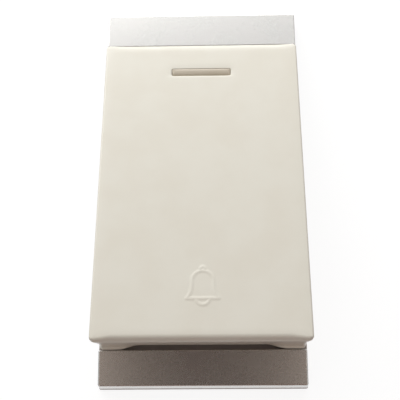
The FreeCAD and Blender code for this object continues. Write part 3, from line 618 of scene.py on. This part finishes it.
def slotWalk(cover, xs, ys, slotBox):
    # the slot's rim on the face grid, as grid indices and as (core, direction) of a rounded rectangle
    cosine = math.cos(math.radians(cover["slope"]))
    columns = np.flatnonzero(np.abs(xs) < slotBox[0] + 1e-6)
    rows = np.flatnonzero((ys > slotBox[1] - 1e-6) & (ys < slotBox[2] + 1e-6))
    walk = [(rows[0], c) for c in columns] + [(r, columns[-1]) for r in rows[1:]]
    walk += [(rows[-1], c) for c in columns[::-1][1:]] + [(r, columns[0]) for r in rows[::-1][1:-1]]
    walk = np.array(walk)
    place = np.stack([xs[walk[:, 1]], (ys[walk[:, 0]] - cover["slotY"]) / cosine], axis=-1)
    inner = np.array(cover["slotHalf"]) - cover["slotCorner"]
    core = np.clip(place, -inner, inner)
    direction = place - core
    # in the square corner each grid line takes its own share of the quarter turn
    reach = np.abs(direction)
    turn = np.arctan2(reach[:, 1], reach[:, 0])
    angle = np.where(reach[:, 0] < 1e-6, np.pi / 2, np.where(reach[:, 1] < 1e-6, 0, turn))
    direction = np.sign(place) * np.stack([np.cos(angle), np.sin(angle)], axis=-1)
    direction[np.abs(direction) < 1e-9] = 0
    return rows, columns, walk, core, direction


def addCoverFace(mould, cover, bell, xs, ys, slotBox):
    # heights on a grid of x and y: the face with the bell's ridge added, the ceiling below it,
    # and the walls of the slot through both
    slope, upward = math.radians(cover["slope"]), faceNormal(cover)
    x, y = np.meshgrid(xs, ys)
    plane = np.stack([x, y, faceHeight(cover, y)], axis=-1)
    rows, columns, walk, core, direction = slotWalk(cover, xs, ys, slotBox)

    def slotRing(outset, depth):
        # rounded rectangle round the slot: so far out from its wall and so deep below the face
        place = core + (cover["slotCorner"] + outset) * direction
        y = cover["slotY"] + place[:, 1] * math.cos(slope)
        ring = np.stack([place[:, 0], y, faceHeight(cover, y)], axis=-1)
        return ring - depth * upward
    soft = cover["slotEdge"] * lerp(1, cover["slotEdgeHigh"], eased(direction[:, 1:]))
    plane[walk[:, 0], walk[:, 1]] = slotRing(soft, 0)
    kept = np.ones((len(ys) - 1, len(xs) - 1), bool)
    kept[rows[0]:rows[-1], columns[0]:columns[-1]] = False
    face = plane + bellHeight(cover, bell, x, y)[..., None] * upward
    mould.sheet(face, kept=kept.ravel())
    ceiling = plane - cover["wall"] * upward
    ceiling[walk[:, 0], walk[:, 1]] = slotRing(0, cover["wall"])
    mould.sheet(ceiling, kept=kept.ravel())
    bend = np.radians(np.linspace(0, 90, cover["slotSteps"] + 1))
    rings = [slotRing(soft * (1 - math.sin(a)), soft * (1 - math.cos(a))) for a in bend]
    mould.sheet(np.array(rings + [slotRing(0, cover["wall"])]), closed=True)


def outerEdge(cover, corner, normal, wallNormal):
    # a rolling ball's arc from the face to the wall, its radius changing along the ends
    upward = faceNormal(cover)
    run = eased((cover["half"] - cover["cornerLow"] - np.abs(corner[:, 0])) / cover["edgeRun"])
    middle = np.where(corner[:, 1] > 0, cover["edgeHigh"], cover["edgeLow"])
    atEnd = lerp(cover["edgeCorner"], middle, run)
    radius = lerp(cover["edgeSide"], atEnd, eased(np.abs(normal[:, 1])))[:, None]
    cosine = (wallNormal @ upward)[:, None]
    ball = corner - radius * (upward + wallNormal) / (1 + cosine)
    opening = np.arccos(cosine)
    rows = []
    for share in np.linspace(0, 1, cover["edgeSteps"] + 1):
        toward = np.sin((1 - share) * opening) * upward + np.sin(share * opening) * wallNormal
        rows.append(ball + radius * toward / np.sin(opening))
    return rows


def outerWall(cover, corner, normal, leaning, rimHeight, last):
    # from the edge's last row down to the rim, stepping out to the toes, and round the rim;
    # toe says how far a column takes part: not in the middle of the low end nor on the sides
    lean = math.tan(math.radians(cover["lean"]))
    first, full = cover["toeReach"]
    toe = eased(-normal[:, 1]) * eased((np.abs(corner[:, 0]) - first) / (full - first))

    def wallRow(height, depth):
        y = corner[:, 1] + leaning * (corner[:, 2] - height) - toe * depth
        return np.stack([corner[:, 0], y, height], axis=-1)
    tall = last[:, 2] - rimHeight
    nose = rimHeight + np.minimum(cover["toeHeight"], tall / 4)
    flare = rimHeight + np.minimum(cover["toeFlare"], tall / 2)
    rows = [lerp(last, wallRow(flare, 0), share) for share in cover["wallRows"]]
    for share in cover["toeRows"]:
        # hollow curve: height rises with the square, depth falls off towards the wall
        height = lerp(nose, flare, share ** 2)
        wallPlace = cover["foot"] - (height - cover["rimLow"]) * lean
        rows.append(wallRow(height, (wallPlace - cover["toeNose"]) * (1 - share) ** 2))
    start = wallRow(rimHeight + cover["rimRound"], cover["foot"] - cover["toeNose"])
    outward = np.concatenate([normal, np.zeros((len(normal), 1))], axis=1)
    for a in np.radians(cover["rimTurns"]):
        curl = math.sin(a) * np.array([0, 0, -1.0]) - (1 - math.cos(a)) * outward
        rows.append(start + cover["rimRound"] * curl)
    return rows


def innerWall(cover, leaning, rimHeight, ring, xs, ys):
    # the rim's other edge, the inner wall and its corner with the ceiling, whose edge is the last row
    slope, lean = math.radians(cover["slope"]), math.tan(math.radians(cover["lean"]))
    foot = cover["foot"] + cover["wall"] / math.cos(math.radians(cover["lean"]))
    footTop = faceHeight(cover, foot) - cover["wall"] / math.cos(slope)
    low = foot - (footTop - cover["rimLow"]) * lean / (1 - math.tan(slope) * lean)
    half, high = cover["half"] - cover["skirt"], cover["high"] - cover["wall"]
    inset = cover["cornerInside"]
    plan = planLoop(half, low, high, inset, inset, xs, ys, cover["cornerSteps"])[0]
    roof = faceHeight(cover, plan[:, 1]) - cover["wall"] / math.cos(slope)
    corner = np.concatenate([plan, roof[:, None]], axis=1)
    rim = np.stack([plan[:, 0], plan[:, 1] + leaning * (roof - rimHeight), rimHeight], axis=-1)
    top = corner - cover["edgeInside"] * np.array([0, 0, 1.0])
    ceilingEdge = ring - cover["wall"] * faceNormal(cover)
    rows = [lerp(rim, top, share) for share in cover["skirtRows"]]
    return rows + [lerp(corner, ceilingEdge, cover["ceilingRow"]), ceilingEdge]


def buildCover(cover, bell):
    xs, ys, slotBox = coverLines(cover, bell)
    mould = Mould()
    addCoverFace(mould, cover, bell, xs, ys, slotBox)

    # plan of the corner between face and wall: at the low end the wall leans out from there to the foot
    fall, lean = (math.tan(math.radians(cover[angle])) for angle in ("slope", "lean"))
    steps, leanFrom = cover["cornerSteps"], cover["leanFrom"]
    footShift = (cover["high"] - cover["foot"]) * fall + cover["faceAtHigh"] - cover["rimLow"]
    low = cover["foot"] - footShift * lean / (1 - fall * lean)
    corners = cover["cornerLow"], cover["cornerHigh"]
    plan, normal = planLoop(cover["half"], low, cover["high"], *corners, xs, ys, steps)
    leaning = eased((leanFrom - plan[:, 1]) / (leanFrom - low - cover["cornerLow"])) * lean
    corner = np.concatenate([plan, faceHeight(cover, plan[:, 1])[:, None]], axis=1)
    wallNormal = unit(np.concatenate([normal, (normal[:, 1] * leaning)[:, None]], axis=1))
    rimHeight = rimHeights(cover, plan[:, 1])

    # shell: rows from the rim of the face's grid, over the edge, down, round and up to the ceiling's
    ring = faceLoop(xs, ys, steps)
    ring = np.concatenate([ring, faceHeight(cover, ring[:, 1])[:, None]], axis=1)
    rows = [ring] + outerEdge(cover, corner, normal, wallNormal)
    rows += outerWall(cover, corner, normal, leaning, rimHeight, rows[-1])
    rows += innerWall(cover, leaning, rimHeight, ring, xs, ys)
    shell = np.array(rows)

    # pivot holes: a window is left out of the inner wall at both sides and filled with rings
    kept = np.ones((len(shell) - 1, shell.shape[1]), bool)
    firstRow, lastRow = (len(shell) + row for row in cover["windowRows"])
    inWindow = (ys > cover["pivotWindow"][0] - 1e-6) & (ys < cover["pivotWindow"][1])
    window = np.flatnonzero(inWindow)[[0, -1]]
    right = len(xs) + steps
    left = 2 * right + steps + len(ys)
    for firstColumn, lastColumn in (right + window, left + len(ys) - 1 - window[::-1]):
        kept[firstRow:lastRow, firstColumn:lastColumn] = False
        patch = shell[firstRow:lastRow + 1, firstColumn:lastColumn + 1]
        edge = np.concatenate([patch[0], patch[1:, -1], patch[-1, ::-1][1:], patch[::-1, 0][1:-1]])
        mould.sheet(pivotRings(cover, edge), closed=True)
    mould.sheet(shell, closed=True, kept=kept.ravel())
    return mould


def pivotRings(cover, edge):
    # from an opening in the grid to a round blind hole in the skirt's inner side
    centre = np.array([edge[0, 0], *cover["pivot"]])
    radius, deep = cover["pivotHole"]
    circle = centre + radius * unit(edge - centre)
    floor = circle.copy()
    floor[:, 0] = np.sign(centre[0]) * deep
    middle = np.tile((floor[0, 0], *cover["pivot"]), (len(edge), 1))
    return np.array([edge, circle, lerp(circle, floor, 0.5), floor, middle])


def rimHeights(cover, y):
    # the skirt's lower edge rises evenly towards the low end
    share = (cover["high"] - y) / (cover["high"] - cover["foot"])
    return np.minimum(lerp(cover["rimHigh"], cover["rimLow"], share), cover["rimLow"])


# press post and spring boss as (radius, height) pairs up to their shoulder, snap hook as (x, z) pairs
insideBook = dict(
    studs=[
        dict(y=-9.0, profile=[(0, 10.15), (1.7, 10.15), (2.0, 10.45)]),
        dict(y=-18.5, profile=[
            (0, 10.0), (1.3, 10.0), (1.6, 10.3), (1.6, 11.5), (3.0, 11.5), (3.2, 11.7)]),
    ],
    root=0.5,
    hook=[(21.5, 6.3), (20.4, 6.3), (19.7, 7.0), (19.7, 7.5), (21.5, 7.5)],
    hookY=(-27.0, -23.0),
)


def addCoverInside(mould, cover, book):
    # each stud goes straight up from its shoulder into the ceiling; each hook is its outline
    # drawn along Y
    for stud in book["studs"]:
        ceiling = faceHeight(cover, stud["y"]) - cover["wall"] / math.cos(math.radians(cover["slope"]))
        top = ceiling + book["root"]
        mould.turned(stud["profile"] + [(stud["profile"][-1][0], top), (0, top)], (0, stud["y"], 0))
    for side in (-1, 1):
        ends = [[(side * x, y, z) for x, z in book["hook"]] for y in book["hookY"]]
        centres = [[np.mean(end, axis=0)] * len(end) for end in ends]
        mould.sheet([centres[0], ends[0], ends[1], centres[1]], closed=True)


coverMould = buildCover(coverBook, bellBook)
addCoverInside(coverMould, coverBook, insideBook)
pushCover = coverMould.piece("pushCoverShell", "ivory_cover", "cover")
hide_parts("push_cover")


# Light bar: a lens that fills the slot, highest above its middle and falling off to its lower edge

barBook = dict(
    half=(6.95, 0.95), corner=0.42,
    # depths below the face, at the low edge first
    edgeDepth=(0.62, 0.1), crown=0.3, crownDepth=0.03, steps=9,
    flange=0.9, flangeThickness=0.7, flangeCorner=0.5, bevel=0.1,
)


def roundedLoop(half, corner, straights=(12, 3), steps=5):
    # rounded rectangle as a closed walk of (x, y) points
    hx, hy = half[0] - corner, half[1] - corner
    runs = []
    for index, (x, y) in enumerate(((hx, -hy), (hx, hy), (-hx, hy), (-hx, -hy))):
        angle = np.radians(np.linspace(-90, 0, steps) + 90 * index)
        runs.append(np.stack([x + corner * np.cos(angle), y + corner * np.sin(angle)], axis=-1))
        nextX, nextY = ((hx, hy), (-hx, hy), (-hx, -hy), (hx, -hy))[index]
        count = straights[1 - index % 2]
        angle = math.radians(90 * index)
        share = np.linspace(0, 1, count + 2)[1:-1, None]
        first = np.array([x, y]) + corner * np.array([math.cos(angle), math.sin(angle)])
        last = np.array([nextX, nextY]) + corner * np.array([math.cos(angle), math.sin(angle)])
        runs.append(lerp(first, last, share))
    return np.concatenate(runs)


def buildLightBar(book, cover):
    # loops of (half size, corner, depth below the face) from under the flange up and over
    # the rounded top
    slope = math.radians(cover["slope"])
    halfX, halfY = book["half"]
    wide = (halfX + book["flange"], halfY + book["flange"])
    under = cover["wall"] + book["flangeThickness"]
    bevel, corner = book["bevel"], book["flangeCorner"]
    narrow = (wide[0] - bevel, wide[1] - bevel)
    loops = [((wide[0] - halfY, 1e-5), 1e-6, under), (narrow, corner - bevel, under)]
    loops += [(wide, corner, under - bevel), (wide, corner, cover["wall"] + bevel)]
    loops += [(narrow, corner - bevel, cover["wall"]), (book["half"], book["corner"], cover["wall"])]
    rows = []

    def addRow(plan, depth):
        y = cover["slotY"] + plan[:, 1] * math.cos(slope) - depth * math.sin(slope)
        z = faceHeight(cover, cover["slotY"]) - plan[:, 1] * math.sin(slope) - depth * math.cos(slope)
        rows.append(np.stack([plan[:, 0], y, z], axis=-1))
    for half, corner, depth in loops:
        addRow(roundedLoop(half, corner), depth)
    for angle in np.radians(np.linspace(0, 90, book["steps"])):
        # quarter ellipse from the edge, deep below and shallow above, to the crown line
        left = max(math.cos(angle), 1e-6)
        plan = roundedLoop((halfX - halfY * (1 - left), halfY * left), book["corner"] * left)
        upward = (plan[:, 1] / (halfY * left) + 1) / 2
        plan[:, 1] += book["crown"] * (1 - left)
        addRow(plan, lerp(lerp(*book["edgeDepth"], upward), book["crownDepth"], math.sin(angle)))
    mould = Mould()
    mould.sheet(np.array(rows), closed=True)
    return mould


lightBarMould = buildLightBar(barBook, coverBook)
lightBar = lightBarMould.piece("lightBarLens", "tan_lens", "cover", smooth=50, joined=0.015)
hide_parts("light_bar")


# Wound wires: the aerial coil, the spring at the battery's negative end and the cover's return spring

wireBook = dict(
    aerialWire=dict(
        node="antenna_coil", slot="enamelled_copper", start=(-12.9, 16.08, 6.0), radius=(1.9, 1.9),
        turns=4, pitch=1.1, wire=0.6),
    contactSpringWire=dict(
        node="negative_spring", slot="contact_metal", start=(-15.55, -27.0, 6.8), radius=(3.2, 1.3),
        turns=3, pitch=2.5 / 3, wire=0.6),
    returnSpringWire=dict(
        node="return_spring", slot="spring_steel", start=(0, -18.5, 4.25), radius=(2.35, 2.35),
        turns=6, pitch=7 / 6, wire=0.5, upright=True, seat=(0, -0.0185, 0.004), pressed=0.9),
)


def addWire(name, book, sides=14, stepsPerTurn=48):
    # centre line = start + pitch * turns along the axis (X, or Z when upright) + radius * way outward;
    # a ring round it = cos * way outward + sin * the way square to line and outward
    turn = np.linspace(0, book["turns"], stepsPerTurn * book["turns"] + 1)
    radius = lerp(*book["radius"], turn / book["turns"])
    angle = 2 * np.pi * turn
    outward = np.stack([0 * turn, np.sin(angle), -np.cos(angle)], axis=-1)
    axis = np.array([1, 0, 0])
    if "upright" in book:
        outward, axis = outward[:, [2, 1, 0]] * (-1, 1, 1), axis[::-1]
    line = np.asarray(book["start"]) + book["pitch"] * turn[:, None] * axis + radius[:, None] * outward
    square = unit(np.cross(np.gradient(line, axis=0), outward))
    around = np.linspace(0, 2 * np.pi, sides, endpoint=False)[:, None]
    ring = np.cos(around) * outward[:, None] + np.sin(around) * square[:, None]
    # both ends close in two flat steps: a smaller ring and the middle
    rows = [0, 0, *range(len(line)), -1, -1]
    wide = np.concatenate([[0, 0.7], np.ones(len(line)), [0.7, 0]])[:, None, None] * book["wire"] / 2
    mould = Mould()
    mould.sheet(line[rows][:, None] + wide * ring[rows], closed=True)
    piece = mould.piece(name, book["slot"], "base", smooth=50)
    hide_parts(book["node"])
    if "pressed" in book:
        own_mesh(piece)


for name, book in wireBook.items():
    addWire(name, book)


# Camera, light and floor

cameraBook = dict(
    place=(3.884 * mm, -62.368 * mm, 197.047 * mm), turn=(17.1804, 1.3592, -0.1909),
    lens=78.058, sensor=36.0, near=0.005, far=20.0,
)
lightBook = dict(
    key=dict(place=(-0.14, 0.40, 0.187), aim=(0, 0, 0), size=(1.0, 0.25), power=3.0),
    skyStrength=0.46,
)
floorBook = dict(half=1.5, drop=0.02 * mm, pale=(0.24, 0.24, 0.24), glow=0.86)
# studio cards; flat ones hang over the low end, upright ones stand at the low end and at both sides
flat, facingY, facingX = (0, 1, 2), (0, 2, 1), (2, 0, 1)
cardBook = dict(
    wide=dict(half=(0.17, 0.19), place=(-0.004, -0.15, 0.305), axes=flat, glow=(1.0, 0.84, 0.73)),
    high=dict(half=(0.067, 0.19), place=(-0.004, -0.15, 0.30), axes=flat, dark=(0.165, 0.118, 0.11)),
    low=dict(half=(0.22, 0.14), place=(0.12, -0.28, 0.15), axes=facingY, dark=(0.54, 0.33, 0.27)),
    left=dict(half=(0.30, 0.10), place=(-0.40, 0, 0.11), axes=facingX, dark=(0.10, 0.10, 0.10)),
    right=dict(half=(0.30, 0.10), place=(0.40, 0, 0.11), axes=facingX, dark=(0.10, 0.10, 0.10)),
    reflectedOnly=("wide", "left", "right"),
)


def setCamera(book):
    camera = bpy.data.cameras.new("camera")
    camera.lens, camera.sensor_width = book["lens"], book["sensor"]
    camera.clip_start, camera.clip_end = book["near"], book["far"]
    holder = bpy.data.objects.new("camera", camera)
    holder.location = book["place"]
    holder.rotation_euler = Euler([math.radians(angle) for angle in book["turn"]])
    bpy.context.scene.collection.objects.link(holder)
    bpy.context.scene.camera = holder


def addSoftbox(name, book):
    lamp = bpy.data.lights.new(name, "AREA")
    lamp.shape, lamp.energy = "RECTANGLE", book["power"]
    lamp.size, lamp.size_y = book["size"]
    holder = bpy.data.objects.new(name, lamp)
    holder.location = book["place"]
    facing = Vector(book["aim"]) - Vector(book["place"])
    holder.rotation_euler = facing.to_track_quat("-Z", "Y").to_euler()
    bpy.context.scene.collection.objects.link(holder)


def backgroundRays(finish):
    # 1 for what the camera sees, straight or in a glossy or clear surface
    path = finish.add("ShaderNodeLightPath", out="Is Camera Ray")
    others = path.socket.node.outputs
    glossy, clear = (Wire(finish, others[kind]) for kind in ("Is Glossy Ray", "Is Transmission Ray"))
    return path.least(glossy).least(clear)


def setSky(strength):
    # plain pale light from all round, white as a background
    world = bpy.data.worlds.new("sky")
    bpy.context.scene.world = world
    world.use_nodes = True
    sky = Finish("sky", world.node_tree)
    light = sky.add("ShaderNodeBackground", sockets={"Color": (1, 1, 1, 1), "Strength": strength})
    seen = sky.add("ShaderNodeBackground", sockets={"Color": (1, 1, 1, 1), "Strength": 1.0})
    mixed = sky.add("ShaderNodeMixShader", sockets={0: backgroundRays(sky), 1: light, 2: seen})
    sky.add("ShaderNodeOutputWorld", sockets={"Surface": mixed})


def addCard(name, half, place, axes=flat):
    # axes tells which of the card's width (0), height (1) and thickness (2) runs along X, Y and Z
    corners = np.array([(-1, -1, 0), (1, -1, 0), (1, 1, 0), (-1, 1, 0)]) * (*half, 0)
    corners = corners[:, axes] + place
    mesh = bpy.data.meshes.new(name)
    mesh.from_pydata(corners.tolist(), [], [(0, 1, 2, 3)])
    card = bpy.data.objects.new(name, mesh)
    bpy.context.scene.collection.objects.link(card)
    return card


def addFloor(book):
    floor = addCard("floor", (book["half"], book["half"]), (0, 0, -book["drop"]))
    f = Finish("paleFloor")
    paper = f.add("ShaderNodeBsdfDiffuse", sockets={"Color": colour4(book["pale"])})
    glow = f.add("ShaderNodeEmission", sockets={"Color": (1, 1, 1, 1), "Strength": book["glow"]})
    lit = f.add("ShaderNodeAddShader", sockets={0: paper, 1: glow})
    mixed = f.add("ShaderNodeMixShader", sockets={0: backgroundRays(f), 1: paper, 2: lit})
    floor.data.materials.append(f.done(mixed))


def addStudioCard(name, book, reflectedOnly):
    # a dark card keeps light away and shows in reflections; a glowing one only tints reflections
    card = addCard(name, book["half"], book["place"], book["axes"])
    f = Finish(name)
    if "glow" in book:
        surface = f.add("ShaderNodeEmission", sockets={"Color": colour4(book["glow"])})
    else:
        surface = f.add("ShaderNodeBsdfDiffuse", sockets={"Color": colour4(book["dark"])})
    card.data.materials.append(f.done(surface))
    card.visible_camera = card.visible_shadow = card.visible_transmission = False
    card.visible_diffuse = not reflectedOnly


setCamera(cameraBook)
addSoftbox("key", lightBook["key"])
setSky(lightBook["skyStrength"])
addFloor(floorBook)
for name in ("wide", "high", "low", "left", "right"):
    addStudioCard(name + "Card", cardBook[name], name in cardBook["reflectedOnly"])
bpy.context.scene.view_settings.view_transform = "Standard"
print("camera, light and floor set")
